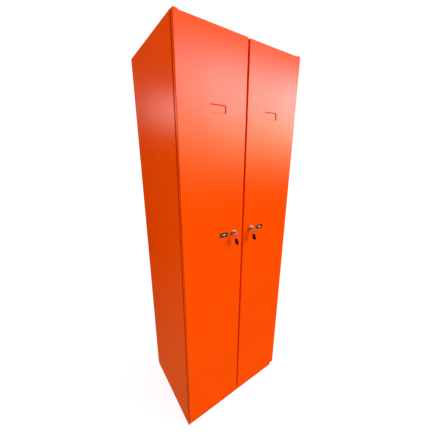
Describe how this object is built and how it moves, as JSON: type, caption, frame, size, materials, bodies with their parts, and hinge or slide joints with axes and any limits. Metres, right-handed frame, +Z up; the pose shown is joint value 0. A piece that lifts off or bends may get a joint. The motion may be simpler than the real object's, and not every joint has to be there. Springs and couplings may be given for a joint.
{
  "type": "two-door school locker",
  "caption": "Tall two-door steel locker with overlay doors on concealed pivots, cam locks with keys, hat shelves and coat rails.",
  "frame": {"origin": "on the floor, under the middle of the carcass, on the underside of the base stringer", "axes": "+X right along the front, +Y to the back, +Z up"},
  "size_m": [0.61, 0.494, 1.78],
  "materials": {
    "carcass_paint": "semi-gloss orange powder coat",
    "door_paint": "semi-gloss orange powder coat",
    "zinc_steel": "bright zinc plate",
    "nickel": "satin nickel plate",
    "key_wire": "polished steel wire",
    "chrome_tube": "polished chrome tube",
    "black_plastic": "moulded gloss black plastic",
    "badge_enamel": "dark enamel with a plain silver field",
    "nylon": "natural nylon",
    "rubber": "matt black rubber"
  },
  "bodies": {
    "carcass": {"side_panel_left": "carcass_paint", "side_panel_right": "carcass_paint", "back_panel": "carcass_paint", "top_panel": "carcass_paint", "floor_panel": "carcass_paint", "centre_partition": "carcass_paint", "side_stile_left": "carcass_paint", "side_stile_right": "carcass_paint", "centre_stile": "carcass_paint", "header_rail": "carcass_paint", "plinth_front": "carcass_paint", "plinth_rear": "carcass_paint", "base_stringer": "carcass_paint", "shelf_left": "carcass_paint", "shelf_right": "carcass_paint", "coat_rail_left": "chrome_tube", "coat_rail_right": "chrome_tube", "hinge_bracket_left": "carcass_paint", "hinge_bracket_right": "carcass_paint", "hinge_pin_lower_left": "zinc_steel", "hinge_pin_lower_right": "zinc_steel", "hinge_pin_upper_left": "zinc_steel", "hinge_pin_upper_right": "zinc_steel"},
    "door_left": {"door_skin_left": "door_paint", "door_stiffener_left": "door_paint", "door_buffer_lower_left": "rubber", "door_buffer_upper_left": "rubber", "hinge_bush_lower_left": "nylon", "hinge_bush_upper_left": "nylon", "lock_body_left": "nickel", "lock_nut_left": "zinc_steel", "badge_plate_left": "badge_enamel", "badge_rivet_inner_left": "nickel", "badge_rivet_outer_left": "nickel"},
    "lock_left": {"lock_plug_left": "nickel", "lock_cam_left": "zinc_steel", "cam_screw_left": "zinc_steel"},
    "key_left": {"key_left": "nickel"},
    "ring_left": {"key_ring_left": "key_wire"},
    "fob_left": {"key_fob_left": "black_plastic"},
    "door_right": {"door_skin_right": "door_paint", "door_stiffener_right": "door_paint", "door_buffer_lower_right": "rubber", "door_buffer_upper_right": "rubber", "hinge_bush_lower_right": "nylon", "hinge_bush_upper_right": "nylon", "lock_body_right": "nickel", "lock_nut_right": "zinc_steel", "badge_plate_right": "badge_enamel", "badge_rivet_inner_right": "nickel", "badge_rivet_outer_right": "nickel"},
    "lock_right": {"lock_plug_right": "nickel", "lock_cam_right": "zinc_steel", "cam_screw_right": "zinc_steel"},
    "key_right": {"key_right": "nickel"},
    "ring_right": {"key_ring_right": "key_wire"},
    "fob_right": {"key_fob_right": "black_plastic"}
  },
  "joints": [
    {"name": "door_left_swing", "type": "hinge", "parent": "carcass", "child": "door_left", "pos_m": [-0.2985, -0.224, 0.9], "axis": [0, 0, -1], "range_deg": [0, 110]},
    {"name": "lock_left_turn", "type": "hinge", "parent": "door_left", "child": "lock_left", "pos_m": [-0.053, -0.22, 1.028], "axis": [0, -1, 0], "range_deg": [0, 90]},
    {"name": "key_left_pull", "type": "slide", "parent": "lock_left", "child": "key_left", "axis": [0, -1, 0], "range_m": [0, 0.025]},
    {"name": "ring_left_swing", "type": "hinge", "parent": "key_left", "child": "ring_left", "pos_m": [-0.053, -0.2543, 1.0265], "axis": [-0.9903, -0.1392, 0], "range_deg": [-8, 60]},
    {"name": "fob_left_swing", "type": "hinge", "parent": "ring_left", "child": "fob_left", "pos_m": [-0.053, -0.2543, 1.0045], "axis": [-0.9659, -0.2588, 0], "range_deg": [-8, 45]},
    {"name": "door_right_swing", "type": "hinge", "parent": "carcass", "child": "door_right", "pos_m": [0.2985, -0.224, 0.9], "axis": [0, 0, 1], "range_deg": [0, 110]},
    {"name": "lock_right_turn", "type": "hinge", "parent": "door_right", "child": "lock_right", "pos_m": [0.053, -0.22, 1.028], "axis": [0, 1, 0], "range_deg": [0, 90]},
    {"name": "key_right_pull", "type": "slide", "parent": "lock_right", "child": "key_right", "axis": [0, -1, 0], "range_m": [0, 0.025]},
    {"name": "ring_right_swing", "type": "hinge", "parent": "key_right", "child": "ring_right", "pos_m": [0.053, -0.2543, 1.0265], "axis": [-0.9903, -0.1392, 0], "range_deg": [-8, 60]},
    {"name": "fob_right_swing", "type": "hinge", "parent": "ring_right", "child": "fob_right", "pos_m": [0.053, -0.2543, 1.0045], "axis": [-0.9659, -0.2588, 0], "range_deg": [-8, 45]}
  ]
}
